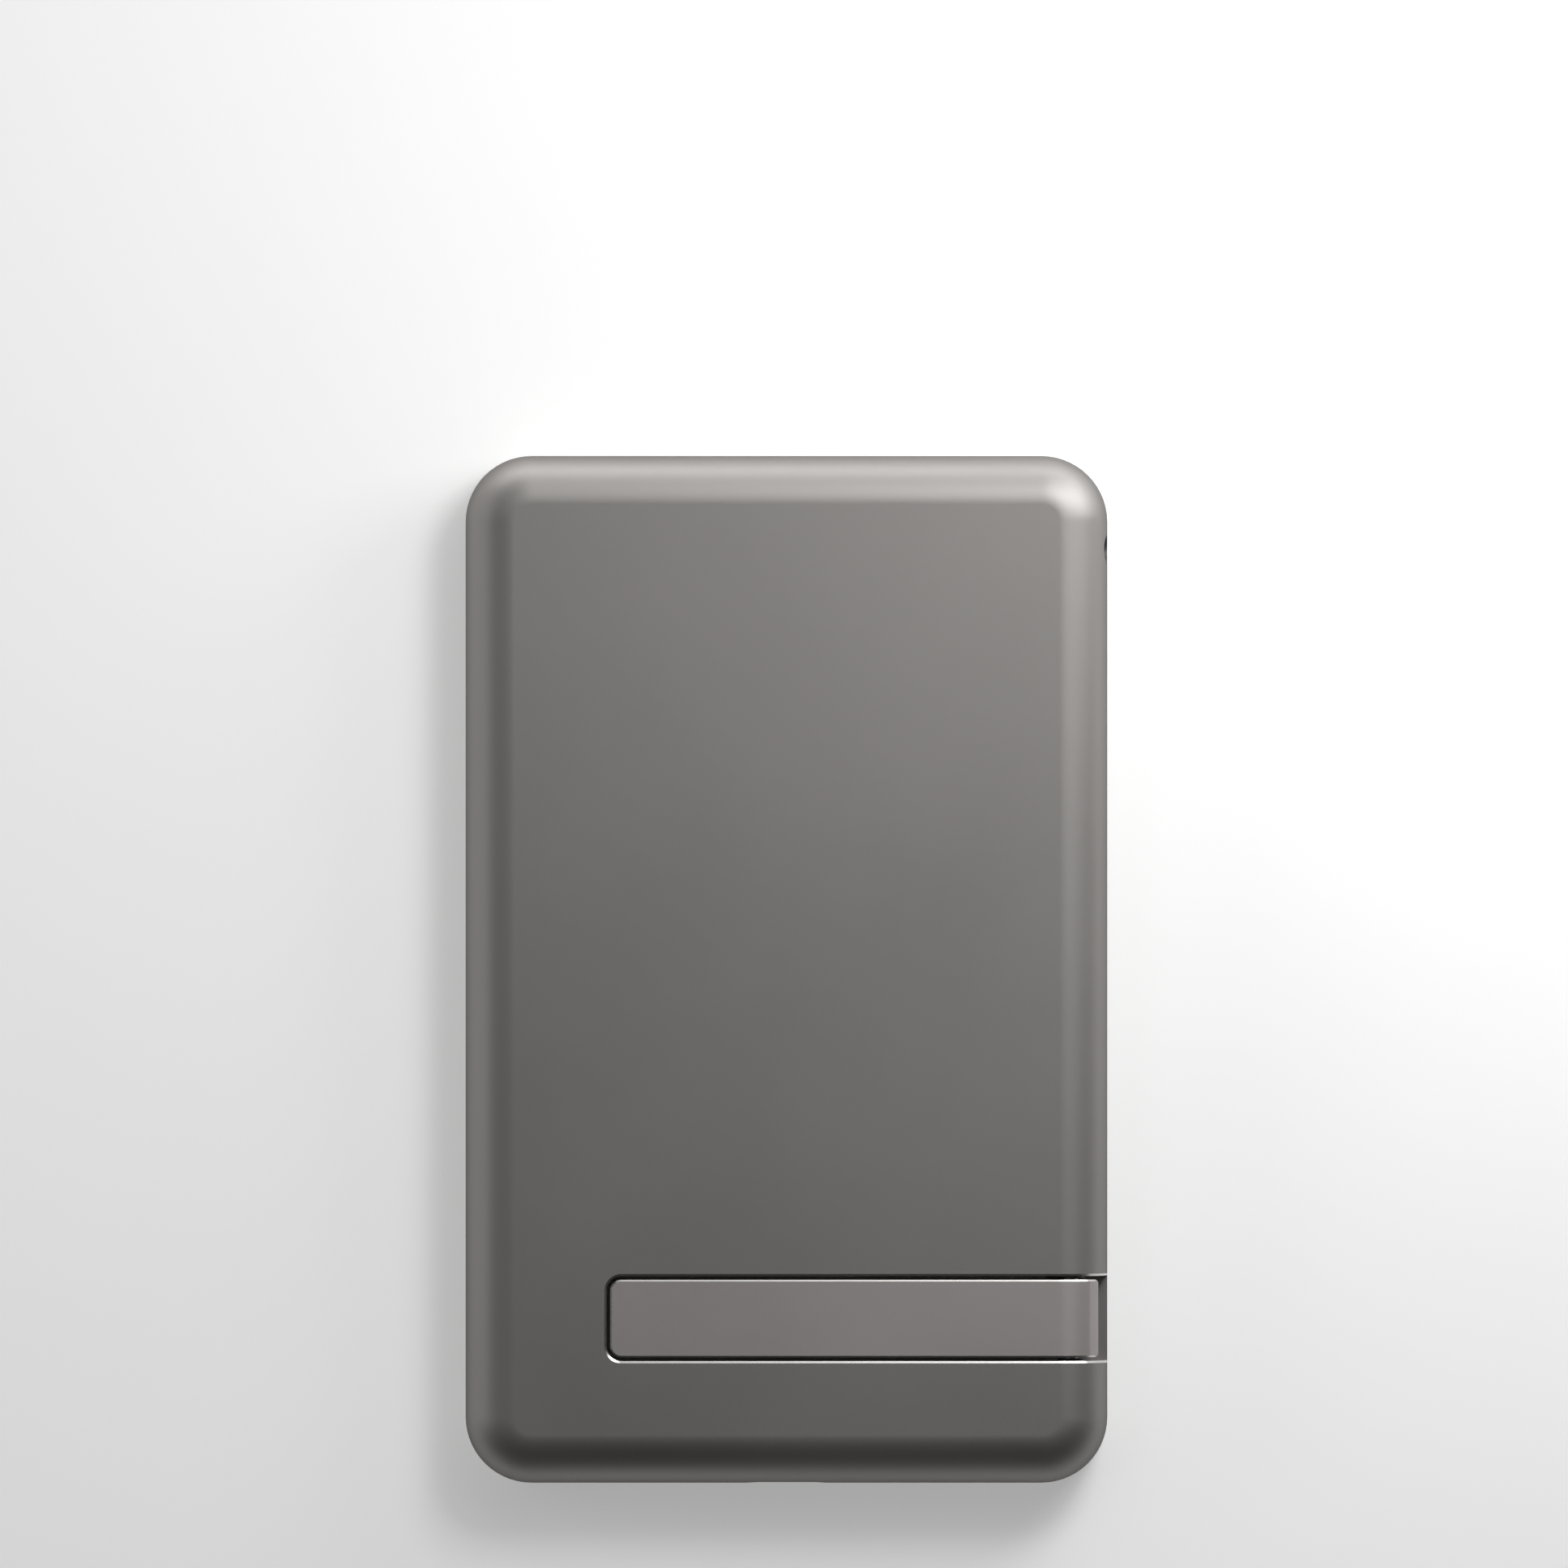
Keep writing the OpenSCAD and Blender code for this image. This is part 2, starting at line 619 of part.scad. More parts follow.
// Moulded frame: a rim, a plate, posts for the board and a wall behind the switch
module inner_frame() {
    well_x = inset_x - rim_w;
    well_y = inset_y - rim_w;
    color([0.16, 0.16, 0.17])
        difference() {
            union() {
                difference() {
                    plate(inset_x, inset_y, inset_r, frame_z, well_depth + plate_t);
                    plate(well_x, well_y, well_corner_r, frame_z - OVER, well_depth + OVER);
                }
                for (p = board_screw_at)
                    translate([p[0], p[1], frame_z])
                        cylinder(r = post_r, h = board_z - frame_z);
                span_box([backing_x, button_y - switch_l / 2, plate_z],
                    [flex_x - flex_t, button_y + switch_l / 2, flex_top_z]);
            }
            at_posts() {
                translate([0, 0, frame_z - OVER])
                    cylinder(d = screw_d + 2 * screw_gap, h = well_depth + plate_t + 2 * OVER);
                translate([0, 0, frame_z - OVER])
                    cylinder(d = screw_head_d + 2 * screw_gap, h = screw_head_h + OVER);
            }
            for (p = board_screw_at)
                translate([p[0], p[1], board_top_z - board_screw_l - screw_bore_extra])
                    cylinder(d = screw_d + 2 * pin_seat, h = board_screw_l + OVER);
            // Pocket under the charging socket
            span_box([-port_w / 2 - port_gap, -inset_y - OVER, port_z - port_h / 2 - port_gap],
                [port_w / 2 + port_gap, port_y1 + port_gap, deck_z + OVER]);
            // Openings under the leads of the coil
            for (sx = [-1, 1])
                span_box([sx * lead_x - coil_lead_w / 2 - coil_lead_gap, lead_y0 - coil_lead_gap,
                    plate_z - OVER], [sx * lead_x + coil_lead_w / 2 + coil_lead_gap,
                    lead_y1 + coil_lead_gap, deck_z + OVER]);
        }
}

// One screw with a flat head, its head at the top and its seat at the origin
module screw(l) {
    cylinder(d = screw_head_d, h = screw_head_h);
    translate([0, 0, -l])
        cylinder(d = screw_d, h = l + JOIN);
}

module frame_screws() {
    color([0.30, 0.30, 0.31])
        at_posts()
            translate([0, 0, frame_z + screw_head_h])
                rotate([180, 0, 0])
                    screw(frame_screw_l);
}

// Ring of magnets that holds the bank to the phone
module magnet_ring() {
    color([0.70, 0.70, 0.72])
        translate([0, coil_y, frame_z])
            for (i = [0:magnet_count - 1])
                rotate([0, 0, magnet_start + i * magnet_span + magnet_gap_deg / 2])
                    rotate_extrude(angle = magnet_span - magnet_gap_deg)
                        translate([ring_inner_r, 0])
                            square([magnet_ring_w, magnet_t]);
}

// Steel ring behind the magnets
module magnet_back_plate() {
    color([0.55, 0.56, 0.58])
        translate([0, coil_y, frame_z + magnet_t])
            rotate([0, 0, magnet_start])
                rotate_extrude(angle = 360 - ring_opening_deg)
                    translate([ring_inner_r, 0])
                        square([magnet_ring_w, back_plate_t]);
}

// Upright magnet that keeps the bank from turning
module alignment_magnet() {
    color([0.70, 0.70, 0.72])
        span_box([-key_magnet_w / 2, key_magnet_y - key_magnet_l / 2, frame_z],
            [key_magnet_w / 2, key_magnet_y + key_magnet_l / 2, frame_z + magnet_t]);
}

// Flat copper coil, with one ridge for each turn
module charging_coil() {
    base_t = coil_t / 3;
    color([0.72, 0.42, 0.20])
        translate([0, coil_y, plate_z - ferrite_t])
            rotate([180, 0, 0])
                rotate_extrude()
                    union() {
                        translate([coil_bore_d / 2, 0])
                            square([coil_pitch * coil_turns, base_t]);
                        for (i = [0:coil_turns - 1])
                            translate([coil_bore_d / 2 + (i + (1 - ridge_share) / 2) * coil_pitch, 0])
                                square([ridge_share * coil_pitch, coil_t]);
                    }
}

module ferrite_sheet() {
    color([0.22, 0.22, 0.23])
        translate([0, coil_y, plate_z - ferrite_t])
            cylinder(d = ferrite_d, h = ferrite_t);
}

// Two leads from the rim of the coil to the board
module coil_leads() {
    z0 = plate_z - ferrite_t - coil_lead_h;
    rim_y = coil_y - sqrt(pow(coil_d / 2, 2) - pow(lead_x - coil_lead_w / 2, 2));
    color([0.75, 0.45, 0.20])
        for (sx = [-1, 1]) {
            span_box([sx * lead_x - coil_lead_w / 2, lead_y0, z0],
                [sx * lead_x + coil_lead_w / 2, rim_y, z0 + coil_lead_h]);
            span_box([sx * lead_x - coil_lead_w / 2, lead_y0, z0],
                [sx * lead_x + coil_lead_w / 2, lead_y1, board_z]);
        }
}

// Sealed battery cell with a thin terrace at its lower end
module battery_cell() {
    half_l = (cell_l - terrace_l) / 2;
    color([0.75, 0.76, 0.78])
        union() {
            translate([0, cell_y1 - half_l, 0])
                hull() {
                    plate(cell_w / 2 - cell_edge_r / 2, half_l - cell_edge_r / 2, cell_edge_r,
                        cell_z, cell_top_z - cell_z);
                    plate(cell_w / 2, half_l, cell_edge_r, cell_z + cell_edge_r / 2,
                        cell_top_z - cell_z - cell_edge_r);
                }
            span_box([-cell_w / 2 + terrace_inset, cell_y0, cell_z],
                [cell_w / 2 - terrace_inset, cell_y0 + terrace_l + cell_edge_r,
                cell_z + terrace_t]);
        }
}

module cell_tape() {
    color([0.85, 0.83, 0.70])
        for (sx = [-1, 1])
            translate([sx * cell_w / 4, cell_y1 - cell_l / 2 + terrace_l / 2, deck_z])
                translate([-cell_tape_w / 2, -cell_l / 2 + terrace_l, 0])
                    cube([cell_tape_w, cell_l - 2 * terrace_l, cell_tape_t]);
}

// Small board on the terrace that guards the cell
module protection_board() {
    color([0.10, 0.35, 0.22])
        span_box([-guard_w / 2, cell_y0 + guard_gap, cell_z + terrace_t],
            [guard_w / 2, cell_y0 + terrace_l - guard_cell_gap, cell_z + terrace_t + board_t]);
}

// Two straps from the guard board down to the main board
module battery_straps() {
    top_z = cell_z + terrace_t + board_t;
    high_end = cell_y0 + strap_foot_l;
    high_bend = cell_y0 - strap_bend_out;
    low_bend = board_y1 - strap_bend_in;
    low_end = board_y1 - strap_foot_l;
    color([0.78, 0.78, 0.74])
        for (sx = [-1, 1])
            translate([sx * strap_pitch / 2 - tab_w / 2, 0, 0])
                rotate([90, 0, 90])
                    linear_extrude(tab_w)
                        polygon([[high_end, top_z], [high_end, top_z + tab_t],
                            [high_bend + tab_t / 2, top_z + tab_t],
                            [low_bend + tab_t / 2, board_top_z + tab_t],
                            [low_end, board_top_z + tab_t], [low_end, board_top_z],
                            [low_bend, board_top_z], [high_bend, top_z]]);
}

// Thin sheet that spreads the heat of the cell
module graphite_sheet() {
    color([0.10, 0.10, 0.11])
        span_box([-cell_w / 2 + cell_edge_r, cell_y0 + terrace_l + cell_edge_r, cell_top_z],
            [cell_w / 2 - cell_edge_r, cell_y1 - cell_edge_r, foam_z]);
}

module foam_pads() {
    color([0.18, 0.18, 0.18])
        for (sx = [-1, 1])
            span_box([sx * cell_w / 4 - foam_w / 2, cell_y0 + terrace_l + 2 * cell_edge_r, foam_z],
                [sx * cell_w / 4 + foam_w / 2, cell_y1 - 2 * cell_edge_r, ceiling_z]);
}

// Main board with a mouth cut for the socket and holes for its screws
module main_board() {
    color([0.08, 0.30, 0.18])
        difference() {
            span_box([board_x0, board_y0, board_z], [board_x1, board_y1, board_top_z]);
            span_box([-port_w / 2 - port_gap, board_y0 - OVER, board_z - OVER],
                [port_w / 2 + port_gap, port_y1 + port_gap, board_top_z + OVER]);
            for (p = board_screw_at)
                translate([p[0], p[1], board_z - OVER])
                    cylinder(d = screw_d + 2 * screw_gap, h = board_t + 2 * OVER);
        }
}

module board_screws() {
    color([0.62, 0.62, 0.64])
        for (p = board_screw_at)
            translate([p[0], p[1], board_top_z])
                screw(board_screw_l);
}

// Block with fully round sides in the shape of the charging port
module port_block(half_w, half_h, y0, y1) {
    translate([0, y0, port_z])
        rotate([-90, 0, 0])
            linear_extrude(y1 - y0)
                round_rect(half_w, half_h, half_h - PORT_FLAT);
}

// Steel shell of the charging socket with two feet on the board
module usb_c_shell() {
    foot_x = port_w / 2 - port_shell_t / 2 + port_foot_w / 2;
    foot_y = port_y1 - port_foot_in;
    color([0.72, 0.73, 0.75])
        union() {
            difference() {
                port_block(port_w / 2, port_h / 2, port_y0, port_y1);
                port_block(port_w / 2 - port_shell_t, port_h / 2 - port_shell_t, port_y0 - OVER,
                    port_y1 + OVER);
            }
            for (sx = [-1, 1])
                span_box([sx * foot_x - port_foot_w / 2, foot_y - port_foot_l, board_top_z],
                    [sx * foot_x + port_foot_w / 2, foot_y, board_top_z + port_shell_t]);
        }
}

// Contact tongue with the block that closes the back of the socket
module usb_c_tongue() {
    block_y = port_y1 - tongue_block_l;
    color([0.06, 0.06, 0.06])
        union() {
            port_block(port_w / 2 - port_shell_t - port_fit,
                port_h / 2 - port_shell_t - port_fit, block_y, port_y1);
            span_box([-tongue_w / 2, port_y0 + tongue_in, port_z - tongue_t / 2],
                [tongue_w / 2, block_y + JOIN, port_z + tongue_t / 2]);
        }
}

// Square power inductor with a bevelled top
module power_inductor() {
    half = inductor_w / 2;
    small = half - inductor_bevel;
    color([0.28, 0.28, 0.30])
        translate([inductor_x, board_mid_y, board_top_z])
            hull() {
                plate(half, half, inductor_corner_r, 0, inductor_h - inductor_bevel);
                plate(small, small, inductor_corner_r - inductor_bevel / 2, 0, inductor_h);
            }
}

// Charger chip and coil driver chip
module controller_chips() {
    color([0.09, 0.09, 0.10]) {
        translate([-charger_w / 2, board_y1 - chip_y - charger_w, board_top_z])
            cube([charger_w, charger_w, chip_t]);
        translate([charger_w / 2 + chip_gap, board_y1 - chip_y - driver_w, board_top_z])
            cube([driver_w, driver_w, chip_t]);
    }
}

// Two rows of resonance and filter capacitors
module capacitors() {
    pitch = capacitor_l + capacitor_gap;
    color([0.55, 0.42, 0.28])
        for (row = [0:1])
            for (i = [-1:1])
                translate([capacitor_x0 + row * (capacitor_w + capacitor_row),
                    board_mid_y + i * pitch - capacitor_l / 2, board_top_z])
                    cube([capacitor_w, capacitor_l, capacitor_h]);
}

// One light emitting chip for each light
module light_chips() {
    color([0.92, 0.90, 0.75])
        for (i = [0:light_count - 1])
            translate([light_start + i * light_pitch - light_chip_w / 2,
                light_bar_y + light_bar_t, board_top_z])
                cube([light_chip_w, light_chip_t, light_z - board_top_z + light_chip_w / 2]);
}

// Clear bar with one round tip for each light
module light_guide() {
    tip_y = -end_y + light_recess;
    margin = light_d / 2 + light_bar_margin;
    x1 = light_start + (light_count - 1) * light_pitch;
    color([0.85, 0.88, 0.90])
        union() {
            span_box([light_start - margin, light_bar_y, board_top_z],
                [x1 + margin, light_bar_y + light_bar_t, light_z + margin]);
            for (i = [0:light_count - 1])
                rod_y([light_start + i * light_pitch, tip_y, light_z], light_d,
                    light_bar_y - tip_y + JOIN);
        }
}

// Flexible circuit along the side of the cell, with a foot on the board
module button_flex() {
    color([0.70, 0.45, 0.12])
        union() {
            span_box([flex_x - flex_t, flex_foot_y0, board_top_z],
                [flex_x, button_y + switch_l / 2, board_top_z + flex_h]);
            span_box([flex_x - flex_t, button_y - switch_l / 2, board_top_z],
                [flex_x, button_y + switch_l / 2, flex_top_z]);
            span_box([board_x1 - flex_foot_in, flex_foot_y0, board_top_z],
                [flex_x, flex_foot_y1, board_top_z + flex_t]);
        }
}

// Switch behind the button, with a bore for its plunger
module button_switch() {
    color([0.75, 0.76, 0.76])
        difference() {
            span_box([flex_x, button_y - switch_l / 2, button_z - switch_h / 2],
                [switch_x, button_y + switch_l / 2, button_z + switch_h / 2]);
            rod_x([plunger_bore_x, button_y, button_z], plunger_d + 2 * pin_run,
                switch_x + OVER - plunger_bore_x);
        }
}

module switch_plunger() {
    color([0.10, 0.10, 0.10])
        rod_x([switch_x - plunger_in, button_y, button_z], plunger_d, plunger_in + plunger_show);
}

// Button with a collar inside the wall and a short stem
module power_button() {
    color([0.46, 0.45, 0.43])
        union() {
            rod_x([collar_back_x + JOIN, button_y, button_z], button_d,
                side_x - button_recess - collar_back_x - JOIN);
            rod_x([collar_back_x, button_y, button_z], collar_d, collar_t);
            rod_x([stem_x, button_y, button_z], stem_d, stem_l + JOIN);
        }
}

// Side view of the leg: a bar, a round edge like the body and a thin swinging end
module leg_section() {
    end_angle = acos((leg_end_x - edge_x) / edge_r);
    polygon(concat([[leg_x, body_t], [leg_x, leg_under_z], [hinge_x - hub_back, leg_under_z],
        [hinge_x - hub_back, hinge_z - hub_drop], [leg_end_x, leg_end_z - leg_end_t]],
        arc(edge_x, edge_z, edge_r, end_angle, 90, 12)));
    translate([hinge_x, hinge_z])
        circle(r = knuckle_r);
}

// Leg of the kickstand, folded into its slot
module kickstand_leg() {
    half = leg_w / 2;
    color([0.55, 0.53, 0.52])
        difference() {
            intersection() {
                translate([0, stand_y + half, 0])
                    rotate([90, 0, 0])
                        linear_extrude(leg_w)
                            leg_section();
                translate([0, stand_y, 0])
                    linear_extrude(body_t + OVER)
                        polygon(concat(
                            arc(leg_end_x - leg_end_r, half - leg_end_r, leg_end_r, 0, 90),
                            arc(leg_x + leg_corner_r, half - leg_corner_r, leg_corner_r, 90, 180),
                            arc(leg_x + leg_corner_r, -half + leg_corner_r, leg_corner_r, 180, 270),
                            arc(leg_end_x - leg_end_r, -half + leg_end_r, leg_end_r, 270, 360)));
            }
            rod_y([hinge_x, stand_y - half - OVER, hinge_z], pin_d + 2 * pin_run,
                leg_w + 2 * OVER);
        }
}

module hinge_pin() {
    color([0.80, 0.80, 0.82])
        rod_y([hinge_x, stand_y - pin_l / 2, hinge_z], pin_d, pin_l);
}

// A flat ring around the pin
module pin_ring(y, d, t) {
    difference() {
        rod_y([hinge_x, y, hinge_z], d, t);
        rod_y([hinge_x, y - OVER, hinge_z], pin_d + 2 * pin_seat, t + 2 * OVER);
    }
}

// Rings that keep the pin in the walls of the body
module pin_clips() {
    y = slot_w / 2 + hinge_wall;
    color([0.35, 0.35, 0.36]) {
        pin_ring(stand_y + y, clip_d, clip_t);
        pin_ring(stand_y - y - clip_t, clip_d, clip_t);
    }
}

// Washers that give the hinge its friction
module friction_washers() {
    y = slot_w / 2;
    color([0.75, 0.72, 0.60]) {
        pin_ring(stand_y + y - washer_t, washer_d, washer_t);
        pin_ring(stand_y - y, washer_d, washer_t);
    }
}

shell();
phone_side_panel();
panel_adhesive();
inner_frame();
frame_screws();
magnet_ring();
magnet_back_plate();
alignment_magnet();
charging_coil();
ferrite_sheet();
coil_leads();
battery_cell();
cell_tape();
protection_board();
battery_straps();
graphite_sheet();
foam_pads();
main_board();
board_screws();
usb_c_shell();
usb_c_tongue();
power_inductor();
controller_chips();
capacitors();
light_chips();
light_guide();
button_flex();
button_switch();
switch_plunger();
power_button();
kickstand_leg();
hinge_pin();
pin_clips();
friction_washers();
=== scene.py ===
"""Looks of a slim magnetic wireless power bank with a flip out kickstand."""
import json
import math

import bmesh
import bpy
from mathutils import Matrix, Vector


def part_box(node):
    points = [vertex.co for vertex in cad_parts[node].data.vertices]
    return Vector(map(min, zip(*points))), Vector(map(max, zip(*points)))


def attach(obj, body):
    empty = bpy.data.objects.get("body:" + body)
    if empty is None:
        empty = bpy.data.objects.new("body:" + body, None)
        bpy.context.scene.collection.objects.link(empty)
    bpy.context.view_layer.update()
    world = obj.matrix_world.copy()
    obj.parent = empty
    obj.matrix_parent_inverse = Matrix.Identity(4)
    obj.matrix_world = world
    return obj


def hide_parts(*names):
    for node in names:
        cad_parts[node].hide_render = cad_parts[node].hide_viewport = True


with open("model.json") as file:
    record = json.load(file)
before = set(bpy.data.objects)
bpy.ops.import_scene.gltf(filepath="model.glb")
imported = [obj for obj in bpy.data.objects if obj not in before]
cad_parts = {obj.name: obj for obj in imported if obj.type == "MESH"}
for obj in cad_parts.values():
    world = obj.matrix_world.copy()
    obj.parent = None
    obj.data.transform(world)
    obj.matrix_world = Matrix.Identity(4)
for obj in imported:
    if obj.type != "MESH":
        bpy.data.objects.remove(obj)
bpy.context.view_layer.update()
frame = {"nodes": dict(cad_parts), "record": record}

# Sizes that the frame's boxes don't give, in metres
MM = 0.001
CORNER_R = 7.2 * MM
EDGE_R = 5.3 * MM
RIM_R = 0.8 * MM
HOLLOW_RIM_R = 0.1 * MM
WALL = 1.1 * MM
SLOT_W = 9.25 * MM
SLOT_CORNER_R = 1.6 * MM
LEG_GAP = 0.4 * MM
LEG_T = 2.1 * MM
LEG_LIFT = 0.3 * MM
LEG_END_T = 0.9 * MM
LEG_END_R = 0.4 * MM
LEG_END_OVER = 0.3 * MM
LEG_STEP_X = 0.4 * MM
LEG_STEP_Z = 0.6 * MM
FLOOR_T = 0.8 * MM
KNUCKLE_R = 1.6 * MM
HINGE_WALL = 1.2 * MM
NOTCH_GAP = 0.35 * MM
PIN_RUN = 0.05 * MM
PIN_SEAT = 0.02 * MM
BUTTON_R = 1.63 * MM
BUTTON_RUN = 0.07 * MM
BUTTON_EDGE_R = 0.12 * MM
BUTTON_DISH = 0.10 * MM
BUTTON_DISH_INSET = 0.14 * MM
COLLAR_T = 0.65 * MM
COLLAR_EDGE = 0.05 * MM
STEM_R = 0.8 * MM
POST_R = 1.6 * MM
POST_INSET = 3.8 * MM
DECK_LIFT = 2.35 * MM
PORT_W = 8.94 * MM
PORT_GAP = 0.15 * MM
PORT_FLAT = 0.05 * MM
LIGHT_COUNT = 4
LIGHT_PITCH = 3 * MM
LIGHT_D = 1.1 * MM
LIGHT_GAP = 0.05 * MM
LIGHT_MARGIN = 1 * MM
# The smallest corner radius left where an outline shrinks
LEAST_R = 0.02 * MM
# How far a cutting solid reaches past what it cuts
OVER = 1 * MM

# Width and depth of the bright edges cut on the slot and the leg, and of the small edges
SLOT_EDGE = (0.24 * MM, 0.12 * MM)
LEG_EDGE = (0.18 * MM, 0.09 * MM)
LEG_LOW_EDGE = (0.09 * MM, 0.09 * MM)
HOLE_EDGE = (0.07 * MM, 0.07 * MM)

# How far a normal reaches along +Z, or along +X for the last, before its face counts as
# a floor, as the leg's top and as the edge across the leg's end
FLOOR_FACING = 0.7
TOP_FACING = 0.05
END_FACING = 0.75
# Edges bent by more than these degrees are cut, and stay sharp in the shading
CUT_ANGLE = 25
SHARP_ANGLE = 32

# Face tags, which are also the material slots of the metal pieces
SKIN, EDGE, INSIDE, CUT, HOLE = range(5)

# The floor is a hair lower than the phone side, so that the two never share a plane
FLOOR_DROP = 0.03 * MM
FLOOR_HALF = 3.0
FLOOR_DARK = (0.80, 0.80, 0.80)
FLOOR_LIGHT = (0.83, 0.83, 0.83)
FLOOR_GRAIN = 40
FLOOR_ROUGH = 0.9
FLOOR_SPECULAR = 0.1
# White that the floor adds to what the camera and the metal see of it
FLOOR_GLOW = 0.34
# Strength of the even light from all round
WORLD_LEVEL = 0.04

# Soft boxes: where each stands, what it points at, its width and height, and its power
LAMPS = {
    "key": ((0.115, 0.175, 0.25), (0.0, 0.03, 0.0), (0.10, 0.10), 0.36),
    "wide_key": ((0.115, 0.175, 0.25), (0.0, 0.03, 0.0), (0.26, 0.26), 0.18),
    "near_right": ((0.15, 0.12, 0.075), (0.0, 0.03, 0.0), (0.10, 0.10), 0.15),
    "left_high": ((-0.30, 0.08, 0.53), (0.0, 0.0, 0.0), (0.50, 0.22), 0.14),
    "left_wall": ((-0.60, 0.10, 0.20), (0.0, 0.0, 0.0), (0.60, 0.24), 0.48),
    "back_low": ((0.0, 0.45, 0.05), (0.0, 0.0, 0.0), (0.80, 0.08), 1.15),
    "back_high": ((0.0, 0.46, 0.33), (0.0, 0.0, 0.0), (0.60, 0.15), 0.22),
}

# The camera looks straight down, and the picture is this wide where the sides end
VIEW_SPAN = 171.05 * MM
VIEW_DISTANCE = 3000 * MM
VIEW_CENTRE = (-0.27 * MM, 20.22 * MM)
SENSOR = 36.0
NEAREST = 0.01
FARTHEST = 20

# The body, its leg and its hinge as the frame has them
shell_low, shell_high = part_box("shell")
leg_low, leg_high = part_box("kickstand_leg")
pin_low, pin_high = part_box("hinge_pin")
button_low, button_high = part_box("power_button")
port_low, port_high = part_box("usb_c_shell")
guide_low, guide_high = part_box("light_guide")
SIDE_X = shell_high.x
END_Y = shell_high.y
TOP_Z = shell_high.z
RIM_Z = shell_low.z
INNER_X = SIDE_X - WALL
INNER_Y = END_Y - WALL
STAND_Y = (leg_low.y + leg_high.y) / 2
HINGE_X = (pin_low.x + pin_high.x) / 2
HINGE_Z = (pin_low.z + pin_high.z) / 2
PIN_D = pin_high.x - pin_low.x
LEG_X = leg_low.x
LEG_END_X = leg_high.x
LEG_W = leg_high.y - leg_low.y
SLOT_X = LEG_X - LEG_GAP
SLOT_Y0 = STAND_Y - SLOT_W / 2
SLOT_Y1 = STAND_Y + SLOT_W / 2
SLOT_FLOOR_Z = TOP_Z - LEG_T - LEG_LIFT
EDGE_X = SIDE_X - EDGE_R
EDGE_Z = TOP_Z - EDGE_R
# Top of the leg's skin where the leg ends on the rounded edge
LEG_END_Z = EDGE_Z + math.sqrt(EDGE_R ** 2 - (LEG_END_X - EDGE_X) ** 2)
DECK_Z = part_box("inner_frame")[0].z + DECK_LIFT
BUTTON_Y = (button_low.y + button_high.y) / 2
BUTTON_Z = (button_low.z + button_high.z) / 2
COLLAR_R = (button_high.y - button_low.y) / 2


# Meshes

def arc(cx, cy, r, start, end, steps):
    """Points along an arc, angles in degrees."""
    out = []
    for i in range(steps + 1):
        a = math.radians(start + (end - start) * i / steps)
        out.append((cx + r * math.cos(a), cy + r * math.sin(a)))
    return out


def circle(r, steps):
    """Points round the origin."""
    turns = [2 * math.pi * i / steps for i in range(steps)]
    return [(r * math.cos(a), r * math.sin(a)) for a in turns]


def round_rect(half_x, half_y, r, steps=12):
    """Outline of a rectangle with round corners, centred on the origin."""
    points = []
    for sx, sy, start in ((1, 1, 0), (-1, 1, 90), (-1, -1, 180), (1, -1, 270)):
        points += arc(sx * (half_x - r), sy * (half_y - r), r, start, start + 90, steps)
    return points


def new_object(name, bm, tag=None):
    """Object from a bmesh, with outward normals and one face tag.

    The metals' slots are there before any boolean, which keeps the tags only then.
    """
    bmesh.ops.recalc_face_normals(bm, faces=bm.faces)
    mesh = bpy.data.meshes.new(name)
    if tag is not None:
        for face in bm.faces:
            face.material_index = tag
        for material in (body_metal, cut_edge, painted_shade_inside, painted_shade_slot, painted_shade_hole):
            mesh.materials.append(material)
    bm.to_mesh(mesh)
    bm.free()
    obj = bpy.data.objects.new(name, mesh)
    bpy.context.scene.collection.objects.link(obj)
    return obj


def loft(name, rings, tag):
    """Closed solid through rings with the same number of points."""
    bm = bmesh.new()
    loops = [[bm.verts.new(p) for p in ring] for ring in rings]
    count = len(loops[0])
    for low, high in zip(loops, loops[1:]):
        for i in range(count):
            j = (i + 1) % count
            bm.faces.new((low[i], low[j], high[j], high[i]))
    bm.faces.new(list(reversed(loops[0])))
    bm.faces.new(loops[-1])
    return new_object(name, bm, tag)


def prism(name, outline, z0, z1, tag):
    """Outline in X and Y, raised from z0 to z1."""
    rings = [[(x, y, z) for x, y in outline] for z in (z0, z1)]
    return loft(name, rings, tag)


def side_prism(name, outline, y0, y1, tag):
    """Outline in X and Z, drawn along Y."""
    rings = [[(x, y, z) for x, z in outline] for y in (y1, y0)]
    return loft(name, rings, tag)


def box(name, low, high, tag):
    """Block between two corners."""
    outline = [(low[0], low[1]), (high[0], low[1]), (high[0], high[1]), (low[0], high[1])]
    return prism(name, outline, low[2], high[2], tag)


def rod(name, axis, at, r, length, tag, steps=48):
    """Cylinder along X, Y or Z, from a point."""
    place = {"x": lambda u, v, w: (at[0] + w, at[1] + u, at[2] + v),
             "y": lambda u, v, w: (at[0] + v, at[1] + w, at[2] + u),
             "z": lambda u, v, w: (at[0] + u, at[1] + v, at[2] + w)}[axis]
    rings = [[place(u, v, w) for u, v in circle(r, steps)] for w in (0, length)]
    return loft(name, rings, tag)


def soft_block(name, half_x, half_y, r, top_r, low_r, z0, z1, tag, steps=20, corner=14):
    """Block with a round edge above, a small round edge below and round corners."""
    section = []
    for degrees in (0, 22.5, 45, 67.5, 90):
        a = math.radians(degrees)
        section.append((low_r - low_r * math.sin(a), z0 + low_r - low_r * math.cos(a)))
    for i in range(steps + 1):
        a = math.radians(90 * i / steps)
        section.append((top_r - top_r * math.cos(a), z1 - top_r + top_r * math.sin(a)))
    rings = []
    for inset, z in section:
        outline = round_rect(half_x - inset, half_y - inset, max(r - inset, LEAST_R), corner)
        rings.append([(x, y, z) for x, y in outline])
    return loft(name, rings, tag)


